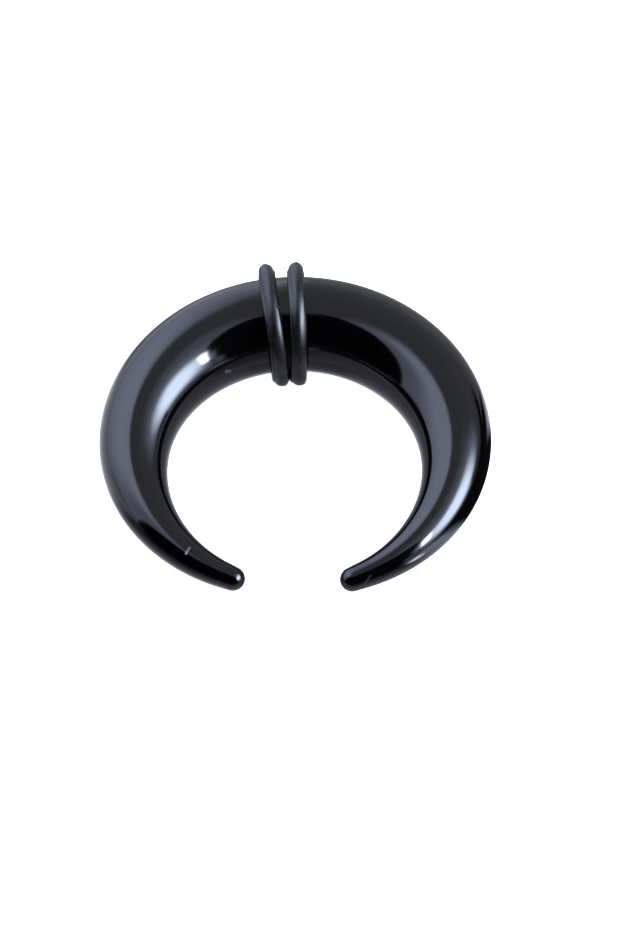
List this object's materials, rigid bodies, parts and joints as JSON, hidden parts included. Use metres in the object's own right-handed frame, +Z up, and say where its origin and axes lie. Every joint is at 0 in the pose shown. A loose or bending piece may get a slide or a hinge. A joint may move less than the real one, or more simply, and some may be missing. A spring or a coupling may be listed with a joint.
{
  "type": "crescent ear expander",
  "caption": "Crescent-shaped stretching bar for a pierced ear, thick in the middle and drawn out to blunt tips, with rubber O-rings on the middle.",
  "frame": {"origin": "on the table, under the middle of the object's box as it lies", "axes": "+Z up from the table, +Y towards the thick middle and away from the tips, +X from the left arm to the right arm"},
  "size_m": [0.0406, 0.0386, 0.0132],
  "materials": {
    "black_acrylic": "polished black acrylic, with a glassy shine and a few hairline marks",
    "black_rubber": "smooth black rubber with a soft shine"
  },
  "bodies": {
    "root": {"crescent": "black_acrylic", "o_ring_left": "black_rubber", "o_ring_right": "black_rubber"}
  },
  "joints": []
}
